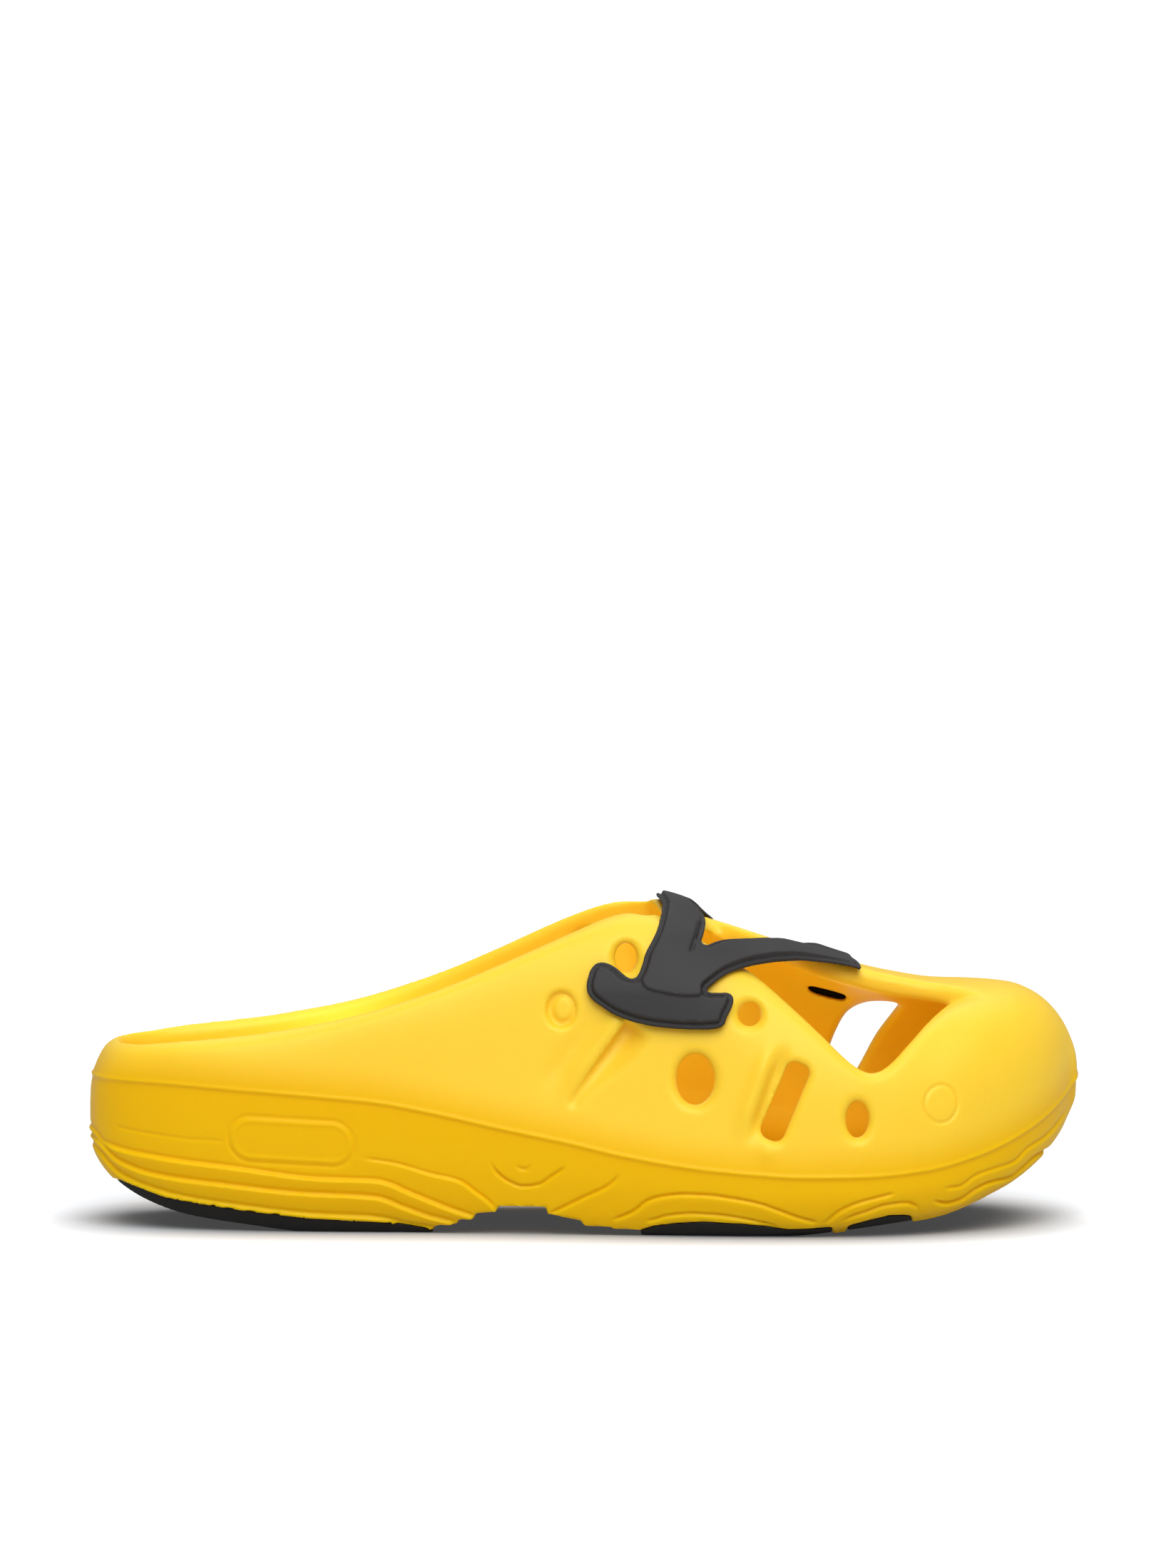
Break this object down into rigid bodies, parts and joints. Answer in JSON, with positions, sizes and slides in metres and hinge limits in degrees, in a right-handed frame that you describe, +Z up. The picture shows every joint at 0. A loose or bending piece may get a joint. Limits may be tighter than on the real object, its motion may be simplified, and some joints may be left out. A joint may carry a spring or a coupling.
{
  "type": "garden clog",
  "caption": "Open-backed moulded foam garden clog for a right foot, with vented sides, a removable footbed, rubber outsole pads and a rubber instep harness with T-bar ends.",
  "frame": {"origin": "centre of the clog's footprint box on the ground", "axes": "+X to the toe, +Y to the inner side of the foot, +Z up"},
  "size_m": [0.3, 0.106, 0.1024],
  "materials": {
    "shell_foam": "matt moulded foam",
    "footbed_foam": "matt moulded foam with massage dots",
    "outsole_rubber": "satin black rubber",
    "strap_rubber": "satin charcoal rubber"
  },
  "bodies": {
    "shell": {"eva_shell": "shell_foam", "heel_outsole": "outsole_rubber", "ball_outsole": "outsole_rubber", "toe_outsole": "outsole_rubber", "strap_bridge": "strap_rubber"},
    "insole": {"footbed": "footbed_foam"},
    "outer_tab": {"outer_strap_tab": "strap_rubber"},
    "inner_tab": {"inner_strap_tab": "strap_rubber"}
  },
  "joints": [
    {"name": "footbed_lift", "type": "hinge", "parent": "shell", "child": "insole", "pos_m": [0.13, 0, 0.0283], "axis": [0, 1, 0], "range_deg": [0, 8]},
    {"name": "outer_tab_pull", "type": "hinge", "parent": "shell", "child": "outer_tab", "pos_m": [0.035, -0.03909, 0.0835], "axis": [-0.9659, 0, 0.2588], "range_deg": [0, 60]},
    {"name": "inner_tab_pull", "type": "hinge", "parent": "shell", "child": "inner_tab", "pos_m": [0.043, 0.0334, 0.0835], "axis": [0.9659, 0, -0.2588], "range_deg": [0, 60]}
  ]
}
